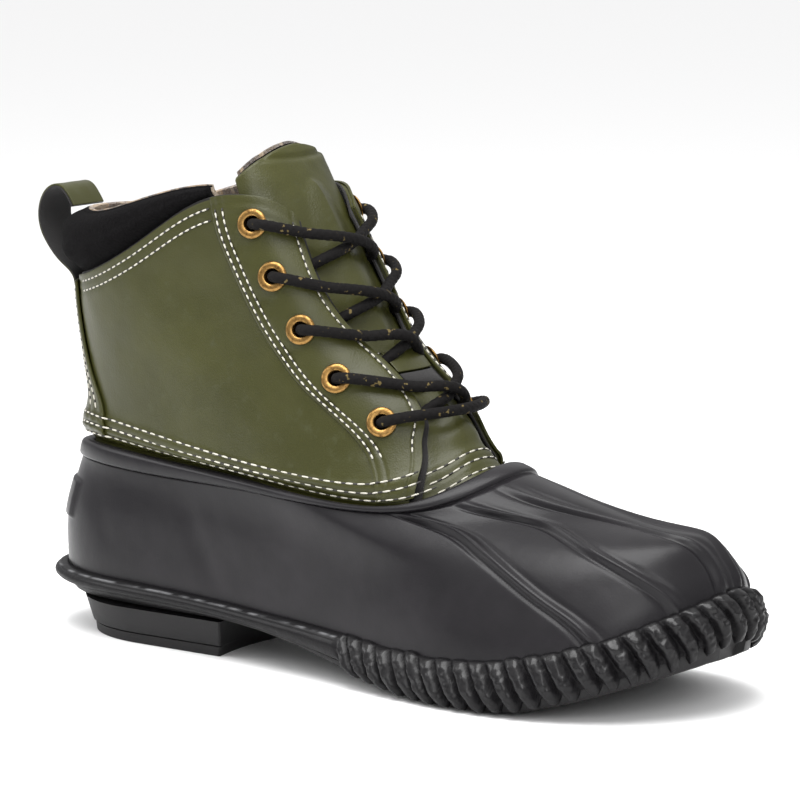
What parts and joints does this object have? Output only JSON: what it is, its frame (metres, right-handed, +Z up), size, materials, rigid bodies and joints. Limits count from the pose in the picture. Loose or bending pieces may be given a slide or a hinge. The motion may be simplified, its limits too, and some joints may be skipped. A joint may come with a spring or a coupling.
{
  "type": "duck boot",
  "caption": "Right duck boot: black moulded rubber shell, heel and sole, olive laced shaft with padded felt collar, tongue and pull loop.",
  "frame": {"origin": "on the bottom face of the heel, under the ankle, on the boot's length axis", "axes": "+X towards the toe, +Y towards the inner (medial) side of this right boot, +Z up"},
  "size_m": [0.3269, 0.1149, 0.1972],
  "materials": {
    "shell_rubber": "black moulded rubber, satin",
    "sole_rubber": "black moulded rubber, matt",
    "green_leather": "olive green coated leather, satin",
    "collar_felt": "black felt, padded",
    "lace_cord": "black braided round cord",
    "eyelet_brass": "antique brass, aged",
    "insole_fleece": "brown plaid fleece"
  },
  "bodies": {
    "root": {"back_stay": "green_leather", "collar": "collar_felt", "eyelet_far_1": "eyelet_brass", "eyelet_far_2": "eyelet_brass", "eyelet_far_3": "eyelet_brass", "eyelet_far_4": "eyelet_brass", "eyelet_far_5": "eyelet_brass", "eyelet_near_1": "eyelet_brass", "eyelet_near_2": "eyelet_brass", "eyelet_near_3": "eyelet_brass", "eyelet_near_4": "eyelet_brass", "eyelet_near_5": "eyelet_brass", "heel": "sole_rubber", "insole": "insole_fleece", "lace_1": "lace_cord", "lace_2": "lace_cord", "lace_3": "lace_cord", "lace_4": "lace_cord", "lace_bar": "lace_cord", "outsole": "sole_rubber", "pull_loop": "green_leather", "rand": "shell_rubber", "rubber_shell": "shell_rubber", "shaft": "green_leather", "tongue": "green_leather", "tongue_keeper": "green_leather"}
  },
  "joints": []
}
